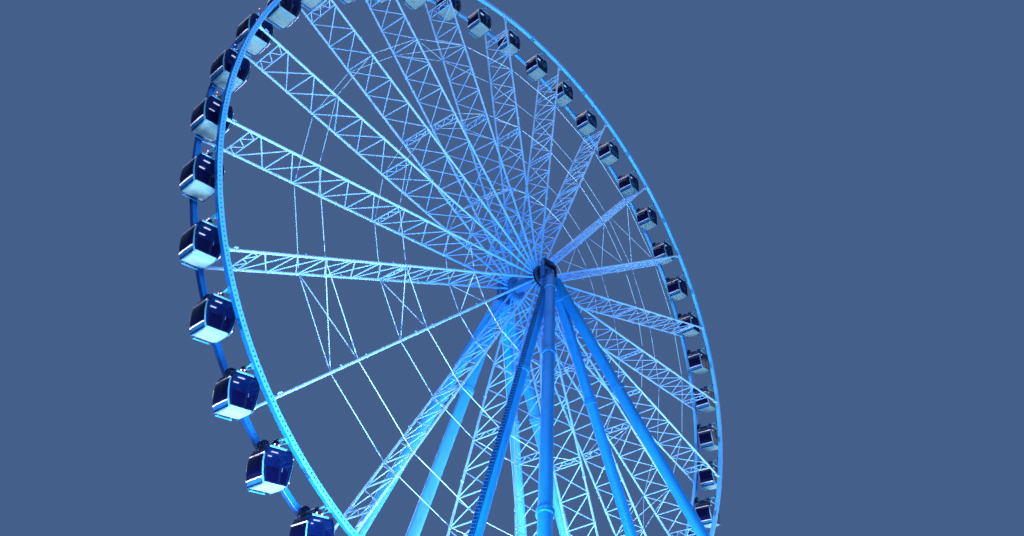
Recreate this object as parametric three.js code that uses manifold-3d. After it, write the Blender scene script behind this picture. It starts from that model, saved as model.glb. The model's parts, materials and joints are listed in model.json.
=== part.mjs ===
// A giant observation wheel at half size: two rims on ladder spokes, cabins that hang level
// between the rims, and a hub carried by two supports of four tube legs. The axle lies along Y.
import * as THREE from 'three';
import { mergeVertices } from 'three/addons/utils/BufferGeometryUtils.js';
import Module from 'manifold-3d';

const wasm = await Module();
wasm.setup();

// Sizes are real sizes in metres. real() gives them in the model's millimetres.
const MODEL_SCALE = 0.5;
const real = (metres) => metres * 1000 * MODEL_SCALE;
const SEAT_GAP = 0.3;
const BEARING_GAP = 0.4;

// Driving dimensions
const RIM_RADIUS = real(25.13);
const HUB_HEIGHT = real(31);
const SPOKE_COUNT = 21;
const CABINS_PER_SPOKE = 2;
const PLANE_OFFSET = real(1.177);
const HEAD_OFFSET = real(2.27);
const INNER_FOOT = { x: real(12.3), y: real(2.89) };
const OUTER_FOOT = { x: real(13.2), y: real(11.05) };
const FIRST_SPOKE_ANGLE = THREE.MathUtils.degToRad(217.73);

// Wheel sections
const SPOKE_PITCH = (2 * Math.PI) / SPOKE_COUNT;
const RIM_DEPTH = real(0.29);
const RIM_WIDTH = real(0.28);
const RIM_SIDES = 3 * SPOKE_COUNT;
const CHORD_RADIUS = real(0.075);
const CHORD_SIDES = 6;
const POST_WIDTH = real(0.07);
const POST_RADII = [23.5, 21.1, 17.275, 13.25, 9.1, 5.075].map(real);

// Spokes that share one flange segment on each side of the hub, numbered from 1
const SPOKE_SETS = [
  [1], [2, 3], [4, 5], [6], [7, 8], [9, 10],
  [11, 12], [13], [14, 15], [16, 17], [18, 19], [20, 21],
];
const FLANGE_INNER = real(0.66);
const FLANGE_OUTER = real(0.86);
const FLANGE_HALF = real(0.07);
const CHORD_ROOT = FLANGE_INNER + real(0.04);
const LAMP_ARM = {
  root: { radius: RIM_RADIUS + real(0.13), y: -real(1.12) },
  tip: { radius: RIM_RADIUS + real(0.4), y: -real(0.76) },
  thickness: real(0.035),
  sides: 3,
};

// Hub and bearing heads
const SHAFT_RADIUS = real(0.28);
const BORE_RADIUS = real(0.31);
const DRUM_RADIUS = real(0.5);
const DISC_THICKNESS = real(0.16);
const HUB_SIDES = 12;
const COVER_DISC = { near: real(1.42), far: real(1.54), radius: real(0.8) };
const SHAFT_END = real(2.12);
const BLOCK = { halfX: real(0.62), near: real(1.8), far: real(2.02), depth: real(0.8) };
const CAP = { halfX: real(0.72), near: real(1.8), far: real(2.74), low: -real(1.15), high: -real(0.66) };
const HOOD = {
  thickness: real(0.1),
  overlap: real(0.02),
  near: real(1.84),
  far: real(2.28),
  foot: -real(0.7),
  shoulder: real(0.72),
  top: real(1.0),
  slope: 0.62,
};

// Legs
const LEG_RADIUS = real(0.375);
const LEG_SIDES = 8;
const LEG_FLANGE_RADIUS = real(0.47);
const LEG_FLANGE_THICKNESS = real(0.16);
const UPPER_JOINT = real(9.55);
const LOWER_JOINT = real(22.05);
const TUBE_START = real(0.3);
const FOOT_PLATE = { half: real(0.75), height: real(0.12) };

// Cabin, measured down from its pivot
const CABIN_HALF_DEPTH = real(0.67);
const CABIN_WALL = real(0.07);
const CABIN_PROFILE = [
  { half: real(0.7), z: real(-0.52) },
  { half: real(0.91), z: real(-1.35) },
  { half: real(0.53), z: real(-2.2) },
];
const WINDOW = { half: real(0.55), top: real(-0.84), sill: real(-1.9) };
const ROOF_UNIT = {
  half: real(0.37),
  front: -real(0.2),
  back: real(0.54),
  foot: -real(0.55),
  top: -real(0.16),
};
const HANGER_HALF = real(0.3);
const AXLE_HALF = real(0.07);

// Far enough for a cutting block to pass right through what it cuts
const BEYOND = real(3);

const COLOURS = {
  rim: new THREE.Color(0x95e2ff),
  spoke: new THREE.Color(0x9ee4ff),
  leg: new THREE.Color(0x1c95f3),
  hub: new THREE.Color(0x0c1c50),
  cabin: new THREE.Color(0x82d8ff),
};

function painted(colour, roughness, metalness) {
  return new THREE.MeshStandardMaterial({ color: colour, roughness, metalness });
}

const MATERIALS = {
  rim: painted(COLOURS.rim, 0.4, 0.1),
  spoke: painted(COLOURS.spoke, 0.4, 0.1),
  leg: painted(COLOURS.leg, 0.45, 0.1),
  hub: painted(COLOURS.hub, 0.5, 0.3),
  cabin: painted(COLOURS.cabin, 0.35, 0.1),
};

// A closed geometry with only positions, its shared vertices merged
function closed(geometry) {
  geometry.deleteAttribute('normal');
  geometry.deleteAttribute('uv');
  return mergeVertices(geometry);
}

function toSolid(geometry) {
  const mesh = new wasm.Mesh({
    numProp: 3,
    vertProperties: new Float32Array(geometry.attributes.position.array),
    triVerts: new Uint32Array(geometry.index.array),
  });
  return new wasm.Manifold(mesh);
}

function fromSolid(solid) {
  const mesh = solid.getMesh();
  const geometry = new THREE.BufferGeometry();
  geometry.setAttribute('position', new THREE.BufferAttribute(mesh.vertProperties, 3));
  geometry.setIndex(new THREE.BufferAttribute(mesh.triVerts, 1));
  return geometry;
}

function join(geometries) {
  const solids = geometries.map(toSolid);
  return fromSolid(solids.reduce((whole, next) => whole.add(next)));
}

function cut(geometry, tools) {
  return fromSolid(tools.map(toSolid).reduce((rest, tool) => rest.subtract(tool), toSolid(geometry)));
}

// A block between two opposite corners
function box(low, high) {
  const size = high.clone().sub(low);
  const centre = low.clone().add(high).multiplyScalar(0.5);
  return closed(new THREE.BoxGeometry(size.x, size.y, size.z)).translate(centre.x, centre.y, centre.z);
}

// A straight bar of regular section between two points
function bar(from, to, radius, sides) {
  const run = to.clone().sub(from);
  const middle = from.clone().add(to).multiplyScalar(0.5);
  const turn = new THREE.Quaternion().setFromUnitVectors(new THREE.Vector3(0, 1, 0), run.clone().normalize());
  const geometry = closed(new THREE.CylinderGeometry(radius, radius, run.length(), sides));
  return geometry.applyQuaternion(turn).translate(middle.x, middle.y, middle.z);
}

// An outline in the XZ plane, extruded along Y between two planes
function plate(outline, holes, yLow, yHigh) {
  const shape = new THREE.Shape(outline);
  shape.holes = holes.map((hole) => new THREE.Path(hole));
  const geometry = new THREE.ExtrudeGeometry(shape, { depth: yHigh - yLow, bevelEnabled: false });
  return closed(geometry).rotateX(Math.PI / 2).translate(0, yHigh, 0);
}

function onCircle(radius, angle) {
  return new THREE.Vector2(radius * Math.cos(angle), radius * Math.sin(angle));
}

// Turned about the axle from straight right to an angle
function turned(geometry, angle) {
  return geometry.rotateY(-angle);
}

const spokeAngle = (number) => FIRST_SPOKE_ANGLE - (number - 1) * SPOKE_PITCH;
const cabinAngle = (index) => FIRST_SPOKE_ANGLE - (index + 0.5) * (SPOKE_PITCH / CABINS_PER_SPOKE);

function ringOutline(radius) {
  const step = (2 * Math.PI) / RIM_SIDES;
  const corner = (unused, i) => onCircle(radius, FIRST_SPOKE_ANGLE + (i + 0.5) * step);
  return Array.from({ length: RIM_SIDES }, corner);
}

function rimRing(side) {
  const inner = (RIM_RADIUS - RIM_DEPTH / 2) / Math.cos(Math.PI / RIM_SIDES);
  const centre = side * PLANE_OFFSET;
  const half = RIM_WIDTH / 2;
  return plate(ringOutline(RIM_RADIUS + RIM_DEPTH / 2), [ringOutline(inner)], centre - half, centre + half);
}

// An arm that leans outwards from the front rim, over a cabin, to hold its lamp
function lampArm(angle) {
  const root = new THREE.Vector3(LAMP_ARM.root.radius, LAMP_ARM.root.y, 0);
  const tip = new THREE.Vector3(LAMP_ARM.tip.radius, LAMP_ARM.tip.y, 0);
  return turned(bar(root, tip, LAMP_ARM.thickness, LAMP_ARM.sides), angle);
}

function frontRim() {
  const arms = Array.from({ length: SPOKE_COUNT * CABINS_PER_SPOKE }, (unused, i) => lampArm(cabinAngle(i)));
  return join([rimRing(-1), ...arms]);
}

function chord(side) {
  const start = new THREE.Vector3(CHORD_ROOT, side * PLANE_OFFSET, 0);
  const end = new THREE.Vector3(RIM_RADIUS - RIM_DEPTH / 2 - SEAT_GAP, side * PLANE_OFFSET, 0);
  return bar(start, end, CHORD_RADIUS, CHORD_SIDES);
}

function post(radius) {
  const half = POST_WIDTH / 2;
  const low = new THREE.Vector3(radius - half, -PLANE_OFFSET, -half);
  const high = new THREE.Vector3(radius + half, PLANE_OFFSET, half);
  return box(low, high);
}

function ladderSpoke(number) {
  const members = [chord(-1), chord(1), ...POST_RADII.map(post)];
  return members.map((member) => turned(member, spokeAngle(number)));
}

// The bolted flange segment that carries one set of spokes on one side of the hub
function flangeSegment(numbers, side) {
  const first = spokeAngle(numbers[0]) + SPOKE_PITCH / 2;
  const trim = SEAT_GAP / FLANGE_INNER;
  const outer = [];
  const inner = [];
  for (let i = 0; i <= numbers.length; i += 1) {
    const inset = i === 0 ? -trim : 0;
    const angle = first - i * SPOKE_PITCH + inset;
    outer.push(onCircle(FLANGE_OUTER, angle));
    inner.unshift(onCircle(FLANGE_INNER, angle));
  }
  const centre = side * PLANE_OFFSET;
  return plate([...outer, ...inner], [], centre - FLANGE_HALF, centre + FLANGE_HALF);
}

function spokeSet(numbers) {
  return join([flangeSegment(numbers, -1), flangeSegment(numbers, 1), ...numbers.flatMap(ladderSpoke)]);
}

// Drum, bolting discs, cover discs, thrust collars and shaft ends, turned about the axle
function hub() {
  const disc = PLANE_OFFSET - FLANGE_HALF - SEAT_GAP;
  const half = [
    [DRUM_RADIUS, disc - DISC_THICKNESS],
    [FLANGE_OUTER, disc - DISC_THICKNESS],
    [FLANGE_OUTER, disc],
    [DRUM_RADIUS, disc],
    [DRUM_RADIUS, COVER_DISC.near],
    [COVER_DISC.radius, COVER_DISC.near],
    [COVER_DISC.radius, COVER_DISC.far],
    [DRUM_RADIUS, COVER_DISC.far],
    [DRUM_RADIUS, BLOCK.near - BEARING_GAP],
    [SHAFT_RADIUS, BLOCK.near - BEARING_GAP],
    [SHAFT_RADIUS, SHAFT_END],
    [0, SHAFT_END],
  ];
  const upper = half.map(([radius, y]) => new THREE.Vector2(radius, y));
  const lower = half.map(([radius, y]) => new THREE.Vector2(radius, -y)).reverse();
  return closed(new THREE.LatheGeometry([...lower, ...upper], HUB_SIDES));
}

function legLine(foot, sideX, sideY) {
  const top = new THREE.Vector3(0, sideY * HEAD_OFFSET, 0);
  const bottom = new THREE.Vector3(sideX * foot.x, sideY * foot.y, -HUB_HEIGHT);
  const direction = bottom.clone().sub(top).normalize();
  const at = (distance) => top.clone().addScaledVector(direction, distance);
  return { at, direction, length: bottom.distanceTo(top) };
}

// A solid of revolution from [distance, radius] pairs along a leg's line
function turnedAlong(line, pairs) {
  const axis = new THREE.Vector3(0, 1, 0);
  const turn = new THREE.Quaternion().setFromUnitVectors(axis, line.direction);
  const profile = pairs.map(([distance, radius]) => new THREE.Vector2(radius, distance));
  const base = line.at(0);
  const geometry = closed(new THREE.LatheGeometry(profile, LEG_SIDES));
  return geometry.applyQuaternion(turn).translate(base.x, base.y, base.z);
}

// A leg from the cap to the ground with a collar at each of its two bolted joints, and its foot
function leg(line) {
  const collar = (joint) => [
    [joint - LEG_FLANGE_THICKNESS, LEG_RADIUS],
    [joint - LEG_FLANGE_THICKNESS, LEG_FLANGE_RADIUS],
    [joint + LEG_FLANGE_THICKNESS, LEG_FLANGE_RADIUS],
    [joint + LEG_FLANGE_THICKNESS, LEG_RADIUS],
  ];
  const tube = turnedAlong(line, [
    [TUBE_START, 0],
    [TUBE_START, LEG_RADIUS],
    ...collar(UPPER_JOINT),
    ...collar(LOWER_JOINT),
    [line.length, LEG_RADIUS],
    [line.length, 0],
  ]);
  const ground = line.at(line.length);
  const around = (half, low, high) => box(
    new THREE.Vector3(ground.x - half, ground.y - half, low),
    new THREE.Vector3(ground.x + half, ground.y + half, high),
  );
  const footPlate = around(FOOT_PLATE.half, -HUB_HEIGHT, -HUB_HEIGHT + FOOT_PLATE.height);
  const underground = around(BEYOND, -HUB_HEIGHT - BEYOND, -HUB_HEIGHT);
  return cut(join([tube, footPlate]), [underground]);
}

// A box centred on the axle's line and set on the front or the rear by its side
function sidedBox(sideY, { halfX, near, far, low, high }) {
  const yLow = Math.min(sideY * near, sideY * far);
  const yHigh = Math.max(sideY * near, sideY * far);
  return box(new THREE.Vector3(-halfX, yLow, low), new THREE.Vector3(halfX, yHigh, high));
}

// The hood that arches over the bearing block and stands out in front of it
function hood(sideY) {
  const { thickness, overlap, near, far, foot, shoulder, top, slope } = HOOD;
  const outer = BLOCK.halfX + thickness;
  const inner = BLOCK.halfX - overlap;
  const outline = [
    new THREE.Vector2(-outer, foot),
    new THREE.Vector2(outer, foot),
    new THREE.Vector2(outer, shoulder),
    new THREE.Vector2(outer * slope, top),
    new THREE.Vector2(-outer * slope, top),
    new THREE.Vector2(-outer, shoulder),
  ];
  const arch = plate(outline, [], Math.min(sideY * near, sideY * far), Math.max(sideY * near, sideY * far));
  const room = sidedBox(sideY, { halfX: inner, near: 0, far: BEYOND, low: CAP.high, high: shoulder });
  return cut(arch, [room]);
}

// The bearing block, the cap that gathers the legs, the hood and the four legs on one side
function support(sideY) {
  const feet = [INNER_FOOT, OUTER_FOOT];
  const lines = feet.flatMap((foot) => [-1, 1].map((sideX) => legLine(foot, sideX, sideY)));
  const block = sidedBox(sideY, { ...BLOCK, low: -BLOCK.depth, high: BLOCK.halfX });
  const cap = sidedBox(sideY, CAP);
  const boreEnds = [0, CAP.far + BEYOND].map((y) => new THREE.Vector3(0, sideY * y, 0));
  const bore = bar(...boreEnds, BORE_RADIUS, HUB_SIDES);
  const wheelRoom = sidedBox(sideY, { halfX: BEYOND, near: 0, far: BLOCK.near, low: -BEYOND, high: BEYOND });
  const hoodRoom = sidedBox(sideY, { halfX: BEYOND, near: 0, far: BEYOND, low: CAP.high, high: BEYOND });
  const legs = cut(join(lines.map(leg)), [hoodRoom]);
  return cut(join([block, cap, hood(sideY), legs]), [bore, wheelRoom]);
}

function cabinOutline(inset) {
  const right = CABIN_PROFILE.map(({ half, z }, i) => {
    const ends = i === 0 ? -inset : i === CABIN_PROFILE.length - 1 ? inset : 0;
    return new THREE.Vector2(half - inset, z + ends);
  });
  const left = right.map((point) => new THREE.Vector2(-point.x, point.y)).reverse();
  return [...right, ...left].reverse();
}

// The axle between the rims and the hanger that drops from it into the roof
function hanger() {
  const reach = PLANE_OFFSET - RIM_WIDTH / 2 - BEARING_GAP;
  const foot = CABIN_PROFILE[0].z - CABIN_WALL / 2;
  const outline = [
    new THREE.Vector2(-HANGER_HALF, foot),
    new THREE.Vector2(HANGER_HALF, foot),
    new THREE.Vector2(HANGER_HALF, -AXLE_HALF),
    new THREE.Vector2(reach, -AXLE_HALF),
    new THREE.Vector2(reach, AXLE_HALF),
    new THREE.Vector2(-reach, AXLE_HALF),
    new THREE.Vector2(-reach, -AXLE_HALF),
    new THREE.Vector2(-HANGER_HALF, -AXLE_HALF),
  ];
  return plate(outline, [], -AXLE_HALF, AXLE_HALF).rotateZ(Math.PI / 2);
}

// The unit that sits behind the hanger on a cabin's roof
function roofUnit() {
  const { half, front, back, foot, top } = ROOF_UNIT;
  return box(new THREE.Vector3(-half, front, foot), new THREE.Vector3(half, back, top));
}

// A barrel-shaped hoop with a window in each curved wall, open front and back, on its axle
function cabin() {
  const hoop = plate(cabinOutline(0), [cabinOutline(CABIN_WALL)], -CABIN_HALF_DEPTH, CABIN_HALF_DEPTH);
  const windows = box(
    new THREE.Vector3(-BEYOND, -WINDOW.half, WINDOW.sill),
    new THREE.Vector3(BEYOND, WINDOW.half, WINDOW.top),
  );
  return join([cut(hoop, [windows]), hanger(), roofUnit()]);
}

const wheelFrame = new THREE.Group();
wheelFrame.position.z = HUB_HEIGHT;

function addPiece(name, geometry, material) {
  const mesh = new THREE.Mesh(geometry, material);
  mesh.name = name;
  wheelFrame.add(mesh);
  return mesh;
}

function addWheel() {
  addPiece('hub', hub(), MATERIALS.hub);
  addPiece('rim_front', frontRim(), MATERIALS.rim);
  addPiece('rim_rear', rimRing(1), MATERIALS.rim);
  for (const numbers of SPOKE_SETS) {
    const label = numbers.map((number) => String(number).padStart(2, '0')).join('_');
    addPiece(`spoke_${label}`, spokeSet(numbers), MATERIALS.spoke);
  }
}

function addCabins() {
  const shared = cabin();
  for (let i = 0; i < SPOKE_COUNT * CABINS_PER_SPOKE; i += 1) {
    const mesh = addPiece(`cabin_${String(i + 1).padStart(2, '0')}`, shared, MATERIALS.cabin);
    const pivot = onCircle(RIM_RADIUS, cabinAngle(i));
    mesh.position.set(pivot.x, 0, pivot.y);
  }
}

function addSupports() {
  addPiece('support_front', support(-1), MATERIALS.leg);
  addPiece('support_rear', support(1), MATERIALS.leg);
}

addWheel();
addCabins();
addSupports();

const wheel = new THREE.Group();
wheel.add(wheelFrame);
export default wheel;
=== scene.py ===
"""A giant observation wheel at half size, dressed around its solids: spokes with their bracing,
tie cables, plated rims, glazed cabins, bearings and tube legs.
"""

import json
import math

import bmesh
import bpy
from mathutils import Matrix, Vector


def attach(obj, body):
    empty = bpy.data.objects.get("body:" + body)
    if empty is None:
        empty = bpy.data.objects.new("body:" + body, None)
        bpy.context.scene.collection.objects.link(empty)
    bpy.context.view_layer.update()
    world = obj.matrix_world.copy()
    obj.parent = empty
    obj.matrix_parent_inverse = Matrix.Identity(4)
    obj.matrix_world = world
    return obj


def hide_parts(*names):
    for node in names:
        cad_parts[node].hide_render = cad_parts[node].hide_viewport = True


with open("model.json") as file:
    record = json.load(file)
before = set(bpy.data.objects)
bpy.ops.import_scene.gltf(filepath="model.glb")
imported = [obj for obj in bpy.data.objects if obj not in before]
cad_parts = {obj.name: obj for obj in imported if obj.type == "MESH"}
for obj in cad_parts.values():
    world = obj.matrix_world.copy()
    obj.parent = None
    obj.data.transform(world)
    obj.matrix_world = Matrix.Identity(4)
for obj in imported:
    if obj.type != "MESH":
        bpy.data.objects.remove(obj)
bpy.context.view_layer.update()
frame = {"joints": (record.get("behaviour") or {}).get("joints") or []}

# Real sizes in metres, from the middle of the hub. SCALE and HUB take them to the model.
SCALE = 0.5
HUB = Vector(next(joint["pos_m"] for joint in frame["joints"] if joint["name"] == "wheel_spin"))
GROUND = -HUB.z / SCALE
SIDES = ((-1, "front"), (1, "rear"))
SPOKES = 21
SPOKE_SETS = ((1,), (2, 3), (4, 5), (6,), (7, 8), (9, 10), (11, 12), (13,), (14, 15), (16, 17), (18, 19),
              (20, 21))
PITCH = 2 * math.pi / SPOKES
FIRST = math.radians(217.73)  # the first spoke's angle
PLANE = 1.177  # from the middle of the wheel to the middle of each rim
RIM = 25.13
RIM_DEPTH = 0.29
RIM_WIDTH = 0.28
RIM_CHAMFER = 0.018
RIM_INNER = RIM - RIM_DEPTH / 2
STUDS = 630
CHORD = 0.075
BRACE = 0.036
# Places along a spoke, as shares of REACH. The pairs in LACED are posts that stand close together.
REACH = 25.0
LACED = ((0.94, 0.918), (0.53, 0.515))
POSTS = [0.94, 0.918, 0.844, 0.768, 0.691, 0.615, 0.53, 0.515, 0.443, 0.364, 0.283, 0.203, 0.12]
CLAMPS = [(0.817, -1), (0.65, 1), (0.57, -1), (0.40, 1), (0.32, -1)]
TIES = [0.768, 0.53, 0.283]
CROSSED = (0, 5, 10, 15)  # the sectors with crossed ties
# The bearings: the bore's radius, faces by distance along the axle, and the cap's height
BORE = 0.315
BLOCK_NEAR = 1.81
BLOCK_FAR = 2.02
BOSS_FAR = 2.09
HOOD_FAR = 2.28
CAP_FAR = 2.74
CAP_TOP = -0.66
# The legs' lines start on the axle at HEAD_Y. Their joints are measured from there.
HEAD_Y = 2.27
FEET = {"inner": (12.3, 2.89), "outer": (13.2, 11.05)}
UPPER_JOINT = 9.55
LOWER_JOINT = 22.05
JOINT_HALF = 0.16
LEG = 0.375
FLANGE = 0.47
FOOT_PLATE = 0.12
TRAY_HALF = 0.15
SHARP = math.radians(32)
X, Y, Z = Vector((1, 0, 0)), Vector((0, 1, 0)), Vector((0, 0, 1))


def turn(count):
    """Angles that divide a full turn."""
    return [2 * math.pi * i / count for i in range(count)]


def circle(middle, radius, count, side, up, start=0.0):
    """Points round a middle, in the plane of two unit directions."""
    return [middle + radius * (math.cos(start + t) * side + math.sin(start + t) * up) for t in turn(count)]


def octagon(hx, hy, c):
    """A rectangle's outline with its corners cut."""
    return [(hx - c, -hy), (hx, -hy + c), (hx, hy - c), (hx - c, hy),
            (-hx + c, hy), (-hx, hy - c), (-hx, -hy + c), (-hx + c, -hy)]


def quads(count, n, closed=False):
    """Faces that join a number of rings of n points, with closed the last one to the first as well."""
    faces = []
    for i in range(count if closed else count - 1):
        a, b = i * n, (i + 1) % count * n
        faces += [[a + j, a + (j + 1) % n, b + (j + 1) % n, b + j] for j in range(n)]
    return faces


def across(along):
    """Two unit directions square to a line and to each other."""
    along = Vector(along).normalized()
    side = along.cross(Y)
    if side.length < 0.05:
        side = along.cross(X)
    side.normalize()
    return side, along.cross(side)


class Shape:
    """Points and faces gathered for one mesh, each face with a material slot."""

    def __init__(self, *materials):
        self.materials = list(materials)
        self.points = []
        self.faces = []
        self.slots = []

    def add(self, points, faces, material):
        if material not in self.materials:
            self.materials.append(material)
        base = len(self.points)
        self.points += [tuple(p) for p in points]
        self.faces += [[base + i for i in f] for f in faces]
        self.slots += [self.materials.index(material)] * len(faces)

    def rings(self, rings, material):
        """A skin over rings of the same number of points, in order, closed at both ends."""
        n = len(rings[0])
        last = (len(rings) - 1) * n
        ends = [list(range(n))[::-1], [last + j for j in range(n)]]
        self.add([p for ring in rings for p in ring], quads(len(rings), n) + ends, material)

    def turned(self, a, b, profile, sides, material):
        """A solid of revolution: profile holds (share of the way from a to b, radius)."""
        a, b = Vector(a), Vector(b)
        side, up = across(b - a)
        self.rings([circle(a.lerp(b, share), radius, sides, side, up) for share, radius in profile], material)

    def tube(self, a, b, radius, sides, material):
        self.turned(a, b, [(0, radius), (1, radius)], sides, material)

    def sleeve(self, a, b, low, high, edge, sides, material):
        """A band that rises from one radius to another over a share of its length at each end."""
        self.turned(a, b, [(0, low), (edge, high), (1 - edge, high), (1, low)], sides, material)

    def sweep(self, path, radius, sides, material):
        """A round bar along a bent path."""
        path = [Vector(p) for p in path]
        rings = []
        side = across(path[1] - path[0])[0]
        for i, p in enumerate(path):
            before, after = path[max(i - 1, 0)], path[min(i + 1, len(path) - 1)]
            along = (after - before).normalized()
            side = (side - along * side.dot(along)).normalized()
            rings.append(circle(p, radius, sides, side, along.cross(side)))
        self.rings(rings, material)

    def block(self, centre, half, material, chamfer, axes=(X, Y, Z)):
        """A box with chamfered edges. axes are its three unit directions."""
        centre = Vector(centre)
        ex, ey, ez = axes
        c = min(chamfer, 0.45 * min(half))
        rings = []
        for z, inset in ((-1, c), (-1, 0), (1, 0), (1, c)):
            level = z * (half[2] - (c if inset == 0 else 0))
            outline = octagon(half[0] - inset, half[1] - inset, c)
            rings.append([centre + x * ex + y * ey + level * ez for x, y in outline])
        self.rings(rings, material)

    def prism(self, outline, material, low, high, axes, centre=(0, 0, 0), chamfer=0.0):
        """An outline in the plane of the first two axes, between two levels on the third."""
        ex, ey, ez = axes
        middle = [sum(p[i] for p in outline) / len(outline) for i in (0, 1)]
        steps = [(low, 0), (high, 0)]
        if chamfer:
            steps = [(low, chamfer), (low + chamfer, 0), (high - chamfer, 0), (high, chamfer)]
        rings = []
        for level, inset in steps:
            ring = []
            for x, y in outline:
                dx, dy = x - middle[0], y - middle[1]
                f = 1 - inset / math.hypot(dx, dy)
                flat = (middle[0] + dx * f) * ex + (middle[1] + dy * f) * ey
                ring.append(Vector(centre) + flat + level * ez)
            rings.append(ring)
        self.rings(rings, material)

    def bolt(self, at, along, radius, height, material="steel"):
        self.turned(at, Vector(at) + Vector(along).normalized() * height,
                    [(0, radius), (0.75, radius), (1, radius * 0.72)], 6, material)

    def nut_ring(self, centre, along, ring_radius, count, radius, height, start=0.0):
        """Steel bolts round a circle."""
        side, up = across(along)
        for at in circle(Vector(centre), ring_radius, count, side, up, start):
            self.bolt(at, along, radius, height)

    def mesh(self, name, origin=HUB, scale=SCALE):
        """The mesh in the model's metres. Unless told otherwise, the points are real sizes from the hub."""
        data = bpy.data.meshes.new(name)
        data.from_pydata([tuple(origin + scale * Vector(p)) for p in self.points], [], self.faces)
        for material in self.materials:
            data.materials.append(MATERIALS[material])
        data.polygons.foreach_set("material_index", self.slots)
        data.polygons.foreach_set("use_smooth", [True] * len(self.faces))
        data.update()
        outward(data)
        data.set_sharp_from_angle(angle=SHARP)
        return data

    def piece(self, name, body, replaces=()):
        place(name, self.mesh(name), body, replaces)


def outward(data):
    """Turns the faces of every closed shell to point out."""
    made = bmesh.new()
    made.from_mesh(data)
    bmesh.ops.recalc_face_normals(made, faces=made.faces)
    made.to_mesh(data)
    made.free()


def in_scene(name, data):
    obj = bpy.data.objects.new(name, data)
    bpy.context.scene.collection.objects.link(obj)
    return obj


def place(name, data, body, replaces=(), at=(0, 0, 0)):
    """A piece of the object, on its body, with the parts it replaces hidden."""
    obj = in_scene(name, data)
    obj.location = at
    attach(obj, body)
    if replaces:
        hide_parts(*replaces)


def spoke_angle(k):
    return FIRST - k * PITCH


def cabin_angle(i):
    return FIRST - (i + 0.5) * PITCH / 2


def polar(angle, r, y=0.0, t=0.0):
    """A point at a radius, a place along the axle and a distance round the wheel."""
    c, s = math.cos(angle), math.sin(angle)
    return Vector((r * c - t * s, y, r * s + t * c))


def polar_axes(angle):
    """Unit directions away from the hub, along the axle and round the wheel."""
    c, s = math.cos(angle), math.sin(angle)
    return Vector((c, 0, s)), Y, Vector((-s, 0, c))


# Materials

# The blue tint in the highlights is painted light: it stands in for blue lamplight.
BLUE_GLOSS = (0.15, 0.55, 1.0, 1)
WHITE_GLOSS = (1, 1, 1, 1)
# Stops for the painted light, by share of height above the ground and by share of reach away from the hub.
GROUND_LIGHT_STOPS = [(0.1, 0), (0.85, 1)]
HUB_LIGHT_STOPS = [(0.04, 0), (0.6, 1)]


def node(tree, kind, operation=None, **values):
    """A new shader node with values for its inputs."""
    made = tree.nodes.new(kind)
    if operation:
        made.operation = operation
    for key, value in values.items():
        made.inputs[key].default_value = value
    return made


def ramp(tree, source, stops):
    """Colours by a share, from two stops of (position, colour)."""
    made = tree.nodes.new("ShaderNodeValToRGB")
    for element, (position, colour) in zip(made.color_ramp.elements, stops):
        element.position = position
        element.color = (*colour, 1)
    tree.links.new(source, made.inputs["Fac"])
    return made.outputs["Color"]


def grey_ramp(tree, source, stops):
    return ramp(tree, source, [(position, (grey,) * 3) for position, grey in stops])


def object_place(tree):
    return tree.nodes.new("ShaderNodeTexCoord").outputs["Object"]


def noise(tree, scale, detail, rough=0.55, stretch=None):
    source = object_place(tree)
    if stretch:
        mapping = node(tree, "ShaderNodeMapping", Scale=stretch)
        tree.links.new(source, mapping.inputs["Vector"])
        source = mapping.outputs["Vector"]
    made = node(tree, "ShaderNodeTexNoise", Scale=scale, Detail=detail, Roughness=rough)
    tree.links.new(source, made.inputs["Vector"])
    return made.outputs["Fac"]


def mix(tree, share, first, second):
    """The second colour over the first by a share. Each may be a socket or a plain colour."""
    made = tree.nodes.new("ShaderNodeMix")
    made.data_type = "RGBA"
    for name, value in (("Factor", share), ("A", first), ("B", second)):
        socket = next(s for s in made.inputs if s.name == name and (s.type == "RGBA" or name == "Factor"))
        if hasattr(value, "is_linked"):
            tree.links.new(value, socket)
        else:
            socket.default_value = (*value, 1)
    return next(s for s in made.outputs if s.type == "RGBA")


def start_material(name):
    material = bpy.data.materials.new(name)
    material.use_nodes = True
    tree = material.node_tree
    return material, tree, tree.nodes["Principled BSDF"]


def two_tone(tree, shader, pale, deep, source):
    """A base colour that drifts between two tones."""
    tone = ramp(tree, source, [(0.3, deep), (0.7, pale)])
    tree.links.new(tone, shader.inputs["Base Color"])
    return tone


def roughen(tree, shader, source, stops):
    tree.links.new(grey_ramp(tree, source, stops), shader.inputs["Roughness"])


def bump(tree, shader, height, strength, distance):
    made = node(tree, "ShaderNodeBump", Strength=strength, Distance=distance)
    tree.links.new(height, made.inputs["Height"])
    tree.links.new(made.outputs["Normal"], shader.inputs["Normal"])


def painted_light_share(tree, from_hub):
    """How far a place is into the painted light's change of paint: away from the hub, or else up from the
    ground.
    """
    along = node(tree, "ShaderNodeVectorMath", "DISTANCE" if from_hub else "DOT_PRODUCT")
    tree.links.new(object_place(tree), along.inputs[0])
    along.inputs[1].default_value = HUB if from_hub else Z
    share = node(tree, "ShaderNodeMath", "DIVIDE")
    tree.links.new(along.outputs["Value"], share.inputs[0])
    share.inputs[1].default_value = SCALE * REACH if from_hub else HUB.z
    return grey_ramp(tree, share.outputs["Value"], HUB_LIGHT_STOPS if from_hub else GROUND_LIGHT_STOPS)


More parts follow.
